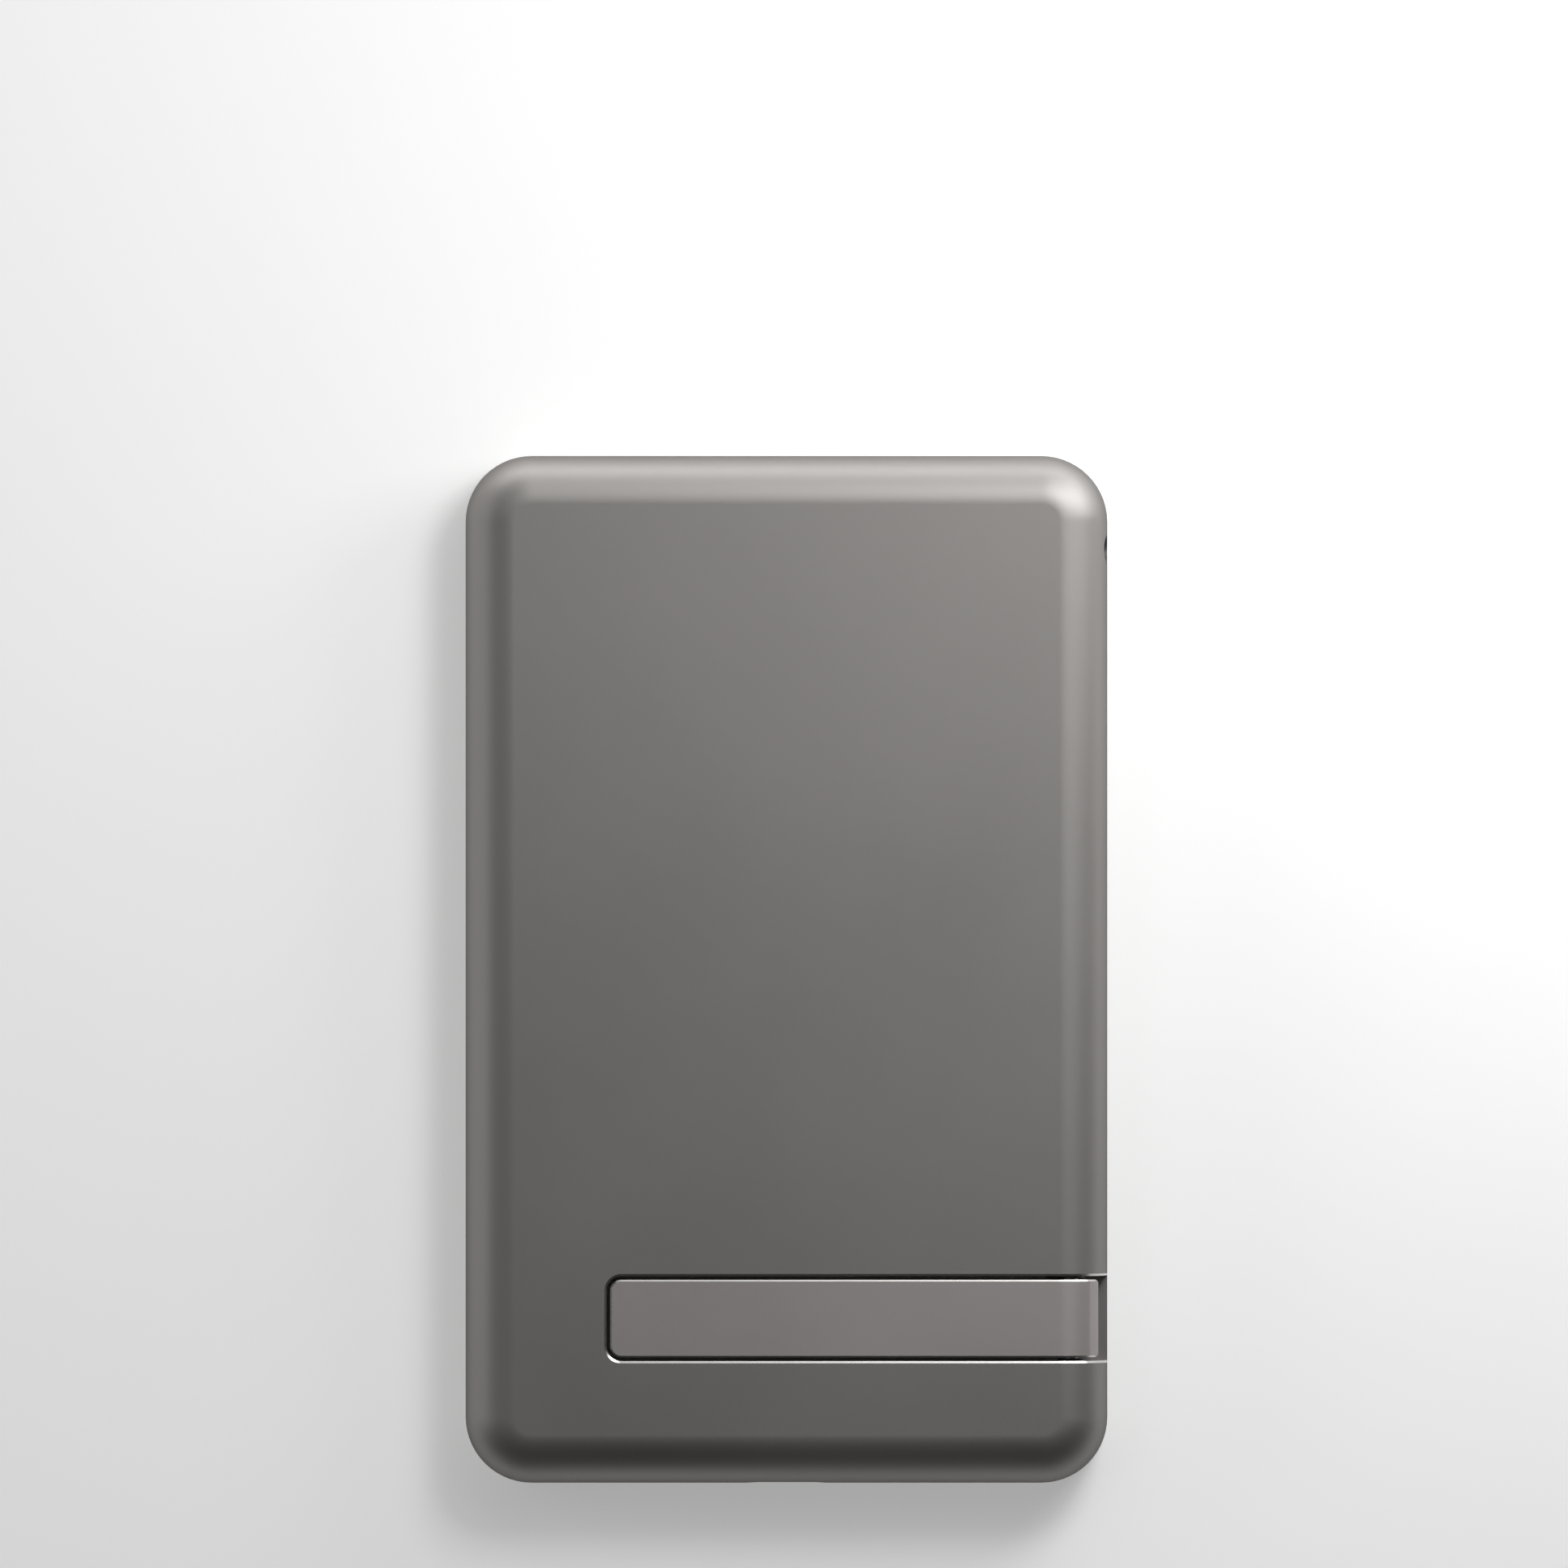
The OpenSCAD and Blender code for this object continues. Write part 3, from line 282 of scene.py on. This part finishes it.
def combine(target, tool, operation="DIFFERENCE"):
    """Boolean of two solids. The tool is used up."""
    modifier = target.modifiers.new("cut", "BOOLEAN")
    modifier.operation = operation
    modifier.solver = "EXACT"
    modifier.object = tool
    graph = bpy.context.evaluated_depsgraph_get()
    mesh = bpy.data.meshes.new_from_object(target.evaluated_get(graph))
    old = target.data
    target.modifiers.clear()
    target.data = mesh
    bpy.data.meshes.remove(old)
    bpy.data.meshes.remove(tool.data)


def face_tags(item):
    """Tags of the faces round an edge or a vertex."""
    return {face.material_index for face in item.link_faces}


def edges_to_cut(bm, skin, wall):
    """Sharp edges between the skin and a wall, but not those of a floor tagged as wall."""
    edges = []
    for edge in bm.edges:
        on_floor = any(face.material_index == wall and face.normal.z > FLOOR_FACING
                       for face in edge.link_faces)
        sharp = edge.calc_face_angle(0) > math.radians(CUT_ANGLE)
        if face_tags(edge) == {skin, wall} and sharp and not on_floor:
            edges.append(edge)
    return edges


def bevel_between(obj, skin, wall, size, tag):
    """Cuts an edge where two kinds of face meet: its width on the skin, its depth on the wall."""
    width, depth = size
    bm = bmesh.new()
    bm.from_mesh(obj.data)
    made = bmesh.ops.bevel(bm, geom=edges_to_cut(bm, skin, wall), offset=width,
                           offset_type="OFFSET", segments=1, affect="EDGES",
                           clamp_overlap=False)
    for face in made["faces"]:
        face.material_index = tag
    moves = []
    for vert in {v for face in made["faces"] for v in face.verts}:
        tags = face_tags(vert)
        if skin in tags or wall not in tags:
            continue
        for edge in vert.link_edges:
            normals = [face.normal for face in edge.other_vert(vert).link_faces
                       if face.material_index == skin]
            if normals and tag in face_tags(edge):
                away = sum(normals, Vector()).normalized()
                moves.append((vert, away * (width - depth)))
                break
    for vert, move in moves:
        vert.co += move
    bm.to_mesh(obj.data)
    bm.free()


def smooth(obj):
    """Smooth shading, with hard edges and the borders of cut edges kept sharp."""
    bm = bmesh.new()
    bm.from_mesh(obj.data)
    for face in bm.faces:
        face.smooth = True
    for edge in bm.edges:
        tags = face_tags(edge)
        border = EDGE in tags and len(tags) == 2
        edge.smooth = not border and edge.calc_face_angle(0) < math.radians(SHARP_ANGLE)
    bm.to_mesh(obj.data)
    bm.free()
    weighted = obj.modifiers.new("normals", "WEIGHTED_NORMAL")
    weighted.keep_sharp = True
    weighted.weight = 100


# Materials

# Most of a noise pattern lies between these
NOISE_LOW = 0.25
NOISE_HIGH = 0.75
# Share of the fine grain in a finish's pattern, and of the slow patches
GRAIN_SHARE = 0.5
PATCH_SHARE = 0.5


def new_material(name):
    """Material with nodes, and its parts."""
    material = bpy.data.materials.new(name)
    material.use_nodes = True
    nodes = material.node_tree.nodes
    shader = nodes["Principled BSDF"]
    return material, nodes, material.node_tree.links, shader


def noise(nodes, links, scale, detail=3.0, roughness=0.55):
    """Noise in the piece's own space, so that it stays with the piece."""
    place = nodes.new("ShaderNodeTexCoord")
    texture = nodes.new("ShaderNodeTexNoise")
    texture.inputs["Scale"].default_value = scale
    texture.inputs["Detail"].default_value = detail
    texture.inputs["Roughness"].default_value = roughness
    links.new(place.outputs["Object"], texture.inputs["Vector"])
    return texture.outputs["Fac"]


def math_node(nodes, links, operation, *values):
    """Sum or product of sockets and numbers."""
    node = nodes.new("ShaderNodeMath")
    node.operation = operation
    for socket, value in zip(node.inputs, values):
        if isinstance(value, bpy.types.NodeSocket):
            links.new(value, socket)
        else:
            socket.default_value = value
    return node.outputs[0]


def spread(nodes, links, value, low, high):
    """Maps a pattern on to a range."""
    node = nodes.new("ShaderNodeMapRange")
    node.inputs["From Min"].default_value = NOISE_LOW
    node.inputs["From Max"].default_value = NOISE_HIGH
    node.inputs["To Min"].default_value = low
    node.inputs["To Max"].default_value = high
    links.new(value, node.inputs["Value"])
    return node.outputs["Result"]


def tint(nodes, links, value, dark, light):
    """Mixes two colours by a pattern."""
    node = nodes.new("ShaderNodeMix")
    node.data_type = "RGBA"
    node.inputs["A"].default_value = (*dark, 1)
    node.inputs["B"].default_value = (*light, 1)
    links.new(value, node.inputs["Factor"])
    return node.outputs["Result"]


def shade(colour, factor):
    """A lighter or darker colour."""
    return tuple(min(1.0, c * factor) for c in colour)


def bump(nodes, links, shader, height, strength, distance):
    """Relief from a pattern."""
    node = nodes.new("ShaderNodeBump")
    node.inputs["Strength"].default_value = strength
    node.inputs["Distance"].default_value = distance
    links.new(height, node.inputs["Height"])
    links.new(node.outputs["Normal"], shader.inputs["Normal"])


def surface(name, colour, metallic, rough, grain_mm=0.3, patch_mm=30, contrast=0.04,
            rough_spread=0.04, bump_strength=0.15, bump_mm=0.01, coat=0.0, specular=0.5,
            rim_tint=1.0):
    """A finish with fine grain, slow patches, uneven roughness and a little relief."""
    material, nodes, links, shader = new_material(name)
    grain = noise(nodes, links, 1 / (grain_mm * MM), detail=2.0)
    patches = noise(nodes, links, 1 / (patch_mm * MM), detail=3.0)
    slow = math_node(nodes, links, "MULTIPLY", patches, PATCH_SHARE)
    pattern = math_node(nodes, links, "MULTIPLY_ADD", grain, GRAIN_SHARE, slow)
    factor = spread(nodes, links, pattern, 0.0, 1.0)
    colours = tint(nodes, links, factor, shade(colour, 1 - contrast), shade(colour, 1 + contrast))
    roughness = spread(nodes, links, pattern, rough - rough_spread, rough + rough_spread)
    links.new(colours, shader.inputs["Base Color"])
    links.new(roughness, shader.inputs["Roughness"])
    shader.inputs["Metallic"].default_value = metallic
    shader.inputs["Specular IOR Level"].default_value = specular
    shader.inputs["Coat Weight"].default_value = coat
    shader.inputs["Specular Tint"].default_value = (rim_tint, rim_tint, rim_tint, 1)
    bump(nodes, links, shader, grain, bump_strength, bump_mm * MM)
    return material


BODY_COLOUR = (0.367, 0.352, 0.342)
LEG_COLOUR = (0.560, 0.525, 0.515)
EDGE_COLOUR = (0.66, 0.65, 0.63)
PANEL_COLOUR = (0.055, 0.055, 0.058)
# How much of its light the metal still reflects near its outline
RIM_TINT = 0.15
BODY_ROUGH = 0.54

body_metal = surface("body_metal", BODY_COLOUR, 1.0, BODY_ROUGH, grain_mm=0.16, contrast=0.04,
                     bump_strength=0.12, bump_mm=0.012, rim_tint=RIM_TINT)
leg_metal = surface("leg_metal", LEG_COLOUR, 1.0, BODY_ROUGH, grain_mm=0.22, contrast=0.06,
                    bump_strength=0.2, bump_mm=0.014, rim_tint=RIM_TINT)
cut_edge = surface("cut_edge", EDGE_COLOUR, 1.0, 0.25, grain_mm=0.4, contrast=0.04,
                   bump_strength=0.05, bump_mm=0.004)
# Painted shade: the shell's inside faces get the body colour darkened to 0.8
painted_shade_inside = surface("painted_shade_inside", shade(BODY_COLOUR, 0.8), 0.8, 0.5, grain_mm=0.3,
                      bump_strength=0.2)
# Painted shade: the holes, their small cut edges and the bores get the body colour darkened to
# 0.3
painted_shade_hole = surface("painted_shade_hole", shade(BODY_COLOUR, 0.3), 0.8, 0.5, grain_mm=0.3,
                     bump_strength=0.2)
# Painted shade: the slot's walls, its floor and the notch get the body colour darkened to 0.9
painted_shade_slot = surface("painted_shade_slot", shade(BODY_COLOUR, 0.9), 0.8, 0.45, grain_mm=0.2,
                     bump_strength=0.15)

# Finishes of the pieces that the frame carries over, by material slot:
# colour, metallic, roughness, and what departs from the usual finish
SLOT_FINISHES = {
    "soft_panel": (PANEL_COLOUR, 0.0, 0.62, dict(grain_mm=0.12, contrast=0.06, bump_strength=0.2,
                                                 bump_mm=0.012, specular=0.35)),
    "adhesive": ((0.045, 0.045, 0.045), 0.0, 0.8, dict(contrast=0.15)),
    "frame_plastic": ((0.030, 0.030, 0.032), 0.0, 0.5, dict(contrast=0.1)),
    "steel": ((0.50, 0.50, 0.51), 1.0, 0.30, dict(contrast=0.05)),
    "socket_steel": ((0.62, 0.62, 0.63), 1.0, 0.28, dict(contrast=0.05)),
    "nickel": ((0.66, 0.64, 0.60), 1.0, 0.22, dict(contrast=0.04)),
    "copper": ((0.70, 0.33, 0.17), 1.0, 0.30, dict(contrast=0.12, coat=0.4)),
    "ferrite": ((0.060, 0.060, 0.065), 0.0, 0.6, dict(contrast=0.15)),
    "cell_foil": ((0.60, 0.61, 0.63), 0.9, 0.36, dict(contrast=0.05)),
    "board": ((0.020, 0.140, 0.070), 0.0, 0.35, dict(contrast=0.15, coat=0.3)),
    "graphite": ((0.030, 0.030, 0.035), 0.3, 0.5, dict(contrast=0.15)),
    "foam": ((0.040, 0.040, 0.040), 0.0, 0.9, dict(contrast=0.3, bump_mm=0.05)),
    "black_plastic": ((0.020, 0.020, 0.020), 0.0, 0.4, dict(contrast=0.15)),
    "ceramic_tan": ((0.46, 0.34, 0.22), 0.0, 0.45, dict(contrast=0.1)),
    "clear_plastic": ((0.80, 0.82, 0.84), 0.0, 0.25, dict(contrast=0.03)),
    "flex_film": ((0.42, 0.22, 0.05), 0.0, 0.35, dict(contrast=0.1)),
}
FINISHES = {slot: surface(slot, colour, metallic, rough, **rest)
            for slot, (colour, metallic, rough, rest) in SLOT_FINISHES.items()}
FINISHES["body_metal"] = body_metal
FINISHES["leg_metal"] = leg_metal


# Shell

def from_hinge(x, z):
    """Distance of a place in the leg's section from the hinge."""
    return math.dist((x, z), (HINGE_X, HINGE_Z))


# The notch leaves room for what swings past the hinge
SWING_R = max(from_hinge(LEG_END_X, LEG_END_Z), from_hinge(LEG_END_X, LEG_END_Z - LEG_END_T),
              from_hinge(EDGE_X, TOP_Z), KNUCKLE_R) + NOTCH_GAP
NOTCH_X = HINGE_X - KNUCKLE_R - NOTCH_GAP - PIN_D / 2
NOTCH_Z = HINGE_Z - SWING_R


def shell_hollow():
    """The space inside, less what stands round the slot and the notch, and the posts."""
    hollow = soft_block("hollow", INNER_X, INNER_Y, CORNER_R - WALL, EDGE_R - WALL,
                        HOLLOW_RIM_R, -OVER, TOP_Z - WALL, INSIDE, steps=10, corner=8)
    for x, z, margin in ((SLOT_X, SLOT_FLOOR_Z, FLOOR_T), (NOTCH_X, NOTCH_Z, HINGE_WALL)):
        low = (x - FLOOR_T, SLOT_Y0 - margin, z - FLOOR_T)
        high = (SIDE_X + OVER, SLOT_Y1 + margin, TOP_Z + OVER)
        combine(hollow, box("block", low, high, INSIDE))
    post_x = SIDE_X - POST_INSET
    post_y = END_Y - POST_INSET
    for sx in (-1, 1):
        for sy in (-1, 1):
            at = (sx * post_x, sy * post_y, DECK_Z)
            combine(hollow, rod("post", "z", at, POST_R, TOP_Z, INSIDE, steps=32))
    return hollow


def slot_cutter():
    """The stand's slot and the notch at its open end."""
    centre_x = SLOT_X + SLOT_CORNER_R
    outline = [(SIDE_X + OVER, SLOT_Y0), (SIDE_X + OVER, SLOT_Y1)]
    outline += arc(centre_x, SLOT_Y1 - SLOT_CORNER_R, SLOT_CORNER_R, 90, 180, 12)
    outline += arc(centre_x, SLOT_Y0 + SLOT_CORNER_R, SLOT_CORNER_R, 180, 270, 12)
    cutter = prism("slot", outline, SLOT_FLOOR_Z, TOP_Z + OVER, CUT)
    high = (SIDE_X + OVER, SLOT_Y1, TOP_Z + OVER)
    combine(cutter, box("notch", (NOTCH_X, SLOT_Y0, NOTCH_Z), high, CUT), "UNION")
    return cutter


def cut_button_hole(shell):
    """Hole for the button, and room inside for its collar."""
    at = (INNER_X - OVER, BUTTON_Y, BUTTON_Z)
    combine(shell, rod("hole", "x", at, BUTTON_R + BUTTON_RUN, WALL + 2 * OVER, HOLE, steps=64))
    at = (button_low.x, BUTTON_Y, BUTTON_Z)
    combine(shell, rod("hole", "x", at, COLLAR_R + 2 * BUTTON_RUN, INNER_X - button_low.x,
                       INSIDE, steps=48))


def cut_port(shell):
    """Opening of the charging socket."""
    centre_z = (port_low.z + port_high.z) / 2
    half_h = (port_high.z - port_low.z) / 2 + PORT_GAP
    half_w = PORT_W / 2 + PORT_GAP
    outline = [(x, z + centre_z) for x, z in round_rect(half_w, half_h, half_h - PORT_FLAT)]
    combine(shell, side_prism("hole", outline, -END_Y - OVER, -INNER_Y + OVER, HOLE))


def cut_light_holes(shell):
    """Holes for the tips of the light guide."""
    for i in range(LIGHT_COUNT):
        at = (guide_low.x + LIGHT_MARGIN + i * LIGHT_PITCH, -END_Y - OVER,
              guide_high.z - LIGHT_MARGIN)
        combine(shell, rod("hole", "y", at, LIGHT_D / 2 + LIGHT_GAP, WALL + 2 * OVER, HOLE,
                           steps=32))


def make_shell():
    """Metal body with its slot, notch and openings."""
    shell = soft_block("shell_skin", SIDE_X, END_Y, CORNER_R, EDGE_R, RIM_R, RIM_Z, TOP_Z, SKIN)
    combine(shell, shell_hollow())
    combine(shell, slot_cutter())
    bevel_between(shell, SKIN, CUT, SLOT_EDGE, EDGE)
    cut_button_hole(shell)
    cut_port(shell)
    cut_light_holes(shell)
    bevel_between(shell, SKIN, HOLE, HOLE_EDGE, HOLE)
    bore_at = (HINGE_X, SLOT_Y0 - HINGE_WALL - OVER, HINGE_Z)
    combine(shell, rod("bore", "y", bore_at, PIN_D / 2 + PIN_SEAT,
                       SLOT_W + 2 * (HINGE_WALL + OVER), INSIDE, steps=32))
    smooth(shell)
    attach(shell, "bank")
    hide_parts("shell")


# Leg

LEG_Y0 = STAND_Y - LEG_W / 2
LEG_Y1 = STAND_Y + LEG_W / 2


def leg_section():
    """Outline of the leg in X and Z, a little longer than the leg at both ends."""
    under = TOP_Z - LEG_T
    past = LEG_END_X + LEG_END_OVER
    # The strip with the two end corners is flat, so that their cut edges stay clean
    past_angle = math.acos((past - EDGE_X) / EDGE_R)
    corner_x = LEG_END_X - LEG_END_R - 2 * LEG_EDGE[0]
    corner_angle = math.degrees(math.acos((corner_x - EDGE_X) / EDGE_R))
    step_x = HINGE_X - LEG_STEP_X
    section = [(LEG_X - OVER, under), (step_x, under), (step_x, HINGE_Z - LEG_STEP_Z),
               (LEG_END_X, LEG_END_Z - LEG_END_T), (past, LEG_END_Z - LEG_END_T),
               (past, EDGE_Z + EDGE_R * math.sin(past_angle))]
    section += arc(EDGE_X, EDGE_Z, EDGE_R, corner_angle, 90, 16)
    section += [(LEG_X - OVER, TOP_Z)]
    return section


def leg_outline():
    """Outline of the leg in X and Y."""
    near_r = SLOT_CORNER_R - LEG_GAP
    end_x = LEG_END_X - LEG_END_R
    near_x = LEG_X + near_r
    return (arc(end_x, LEG_Y1 - LEG_END_R, LEG_END_R, 0, 90, 8)
            + arc(near_x, LEG_Y1 - near_r, near_r, 90, 180, 12)
            + arc(near_x, LEG_Y0 + near_r, near_r, 180, 270, 12)
            + arc(end_x, LEG_Y0 + LEG_END_R, LEG_END_R, 270, 360, 8))


def make_leg():
    """Kickstand leg with its knuckle, cut edges and bore."""
    leg = side_prism("leg_bar", leg_section(), LEG_Y0 - OVER, LEG_Y1 + OVER, SKIN)
    start = (HINGE_X, LEG_Y0 - OVER, HINGE_Z)
    length = LEG_W + 2 * OVER
    combine(leg, rod("knuckle", "y", start, KNUCKLE_R, length, INSIDE, steps=64), "UNION")
    combine(leg, prism("plan", leg_outline(), 0, TOP_Z + OVER, CUT), "INTERSECT")
    for polygon in leg.data.polygons:
        if polygon.material_index == SKIN and polygon.normal.z < TOP_FACING:
            polygon.material_index = INSIDE
    bevel_between(leg, SKIN, CUT, LEG_EDGE, EDGE)
    bevel_between(leg, INSIDE, CUT, LEG_LOW_EDGE, INSIDE)
    # The edge across the leg's end is broken and not polished
    for polygon in leg.data.polygons:
        if polygon.material_index == EDGE and polygon.normal.x > END_FACING:
            polygon.material_index = SKIN
    combine(leg, rod("bore", "y", start, PIN_D / 2 + PIN_RUN, length, HOLE, steps=48))
    for tag in (SKIN, CUT, INSIDE):
        leg.data.materials[tag] = leg_metal
    smooth(leg)
    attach(leg, "stand")
    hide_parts("kickstand_leg")


# Button

def button_section():
    """Half section of the button from its stem to the middle of its face, as X and radius."""
    front = INNER_X - BUTTON_RUN
    back = front - COLLAR_T
    section = [(button_low.x, 0), (button_low.x, STEM_R), (back, STEM_R),
               (back, COLLAR_R - COLLAR_EDGE), (back + COLLAR_EDGE, COLLAR_R),
               (front - COLLAR_EDGE, COLLAR_R), (front, COLLAR_R - COLLAR_EDGE),
               (front, BUTTON_R)]
    section += [(button_high.x - BUTTON_EDGE_R + dx, BUTTON_R - BUTTON_EDGE_R + dr)
                for dx, dr in arc(0, 0, BUTTON_EDGE_R, 90, 0, 5)]
    # The dish, from near its rim to its middle
    section += [(button_high.x - BUTTON_DISH * (1 - t * t), (BUTTON_R - BUTTON_DISH_INSET) * t)
                for t in (0.85, 0.7, 0.55, 0.4, 0.25, 0.1)]
    section += [(button_high.x - BUTTON_DISH, 0)]
    return section


def make_button():
    """Turned button: a dished face, a collar and a short stem."""
    steps = 64
    bm = bmesh.new()
    rings = []
    for x, r in button_section():
        if r == 0:
            rings.append([bm.verts.new((x, BUTTON_Y, BUTTON_Z))])
        else:
            rings.append([bm.verts.new((x, BUTTON_Y + u, BUTTON_Z + v))
                          for u, v in circle(r, steps)])
    for a, b in zip(rings, rings[1:]):
        for i in range(steps):
            j = (i + 1) % steps
            if len(a) == 1:
                bm.faces.new((a[0], b[i], b[j]))
            elif len(b) == 1:
                bm.faces.new((a[i], a[j], b[0]))
            else:
                bm.faces.new((a[i], a[j], b[j], b[i]))
    button = new_object("button_cap", bm, SKIN)
    smooth(button)
    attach(button, "button")
    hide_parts("power_button")


def dress_cad_nodes():
    """Every node that is carried over gets its slot's finish."""
    slots = {part["node"]: part["material_slot"] for part in frame["record"]["subparts"]}
    for name, obj in frame["nodes"].items():
        obj.data.materials.clear()
        obj.data.materials.append(FINISHES[slots[name]])


# Floor, light and camera

def make_floor():
    """Pale floor, seen whiter than it is by the camera and by the metal."""
    bm = bmesh.new()
    corners = ((-1, -1), (1, -1), (1, 1), (-1, 1))
    verts = [bm.verts.new((sx * FLOOR_HALF, sy * FLOOR_HALF, -FLOOR_DROP)) for sx, sy in corners]
    bm.faces.new(verts)
    floor = new_object("floor", bm)
    material, nodes, links, shader = new_material("floor")
    grain = noise(nodes, links, FLOOR_GRAIN)
    links.new(tint(nodes, links, grain, FLOOR_DARK, FLOOR_LIGHT), shader.inputs["Base Color"])
    shader.inputs["Roughness"].default_value = FLOOR_ROUGH
    shader.inputs["Specular IOR Level"].default_value = FLOOR_SPECULAR
    rays = nodes.new("ShaderNodeLightPath").outputs
    seen = math_node(nodes, links, "MAXIMUM", rays["Is Camera Ray"], rays["Is Glossy Ray"])
    glow = math_node(nodes, links, "MULTIPLY", seen, FLOOR_GLOW)
    shader.inputs["Emission Color"].default_value = (1, 1, 1, 1)
    links.new(glow, shader.inputs["Emission Strength"])
    floor.data.materials.append(material)


def area_light(name, at, toward, size, power):
    """Rectangular lamp that the camera doesn't see."""
    data = bpy.data.lights.new(name, "AREA")
    data.shape = "RECTANGLE"
    data.size, data.size_y = size
    data.energy = power
    lamp = bpy.data.objects.new(name, data)
    lamp.location = at
    lamp.rotation_mode = "QUATERNION"
    lamp.rotation_quaternion = (Vector(toward) - Vector(at)).to_track_quat("-Z", "Y")
    lamp.visible_camera = False
    bpy.context.scene.collection.objects.link(lamp)


def make_lights():
    """The soft boxes, and a faint even light from all round."""
    for name, settings in LAMPS.items():
        area_light(name, *settings)
    world = bpy.data.worlds.new("studio")
    world.use_nodes = True
    background = world.node_tree.nodes["Background"]
    background.inputs["Color"].default_value = (1, 1, 1, 1)
    background.inputs["Strength"].default_value = WORLD_LEVEL
    bpy.context.scene.world = world


def make_camera():
    """Long lens from far above, so that the sides hardly show."""
    data = bpy.data.cameras.new("camera")
    data.sensor_width = SENSOR
    data.lens = SENSOR * VIEW_DISTANCE / VIEW_SPAN
    data.clip_start = NEAREST
    data.clip_end = FARTHEST
    camera = bpy.data.objects.new("camera", data)
    camera.location = (VIEW_CENTRE[0], VIEW_CENTRE[1], EDGE_Z + VIEW_DISTANCE)
    bpy.context.scene.collection.objects.link(camera)
    bpy.context.scene.camera = camera


dress_cad_nodes()
make_shell()
make_leg()
make_button()
make_floor()
make_lights()
make_camera()
bpy.context.scene.view_settings.view_transform = "Standard"
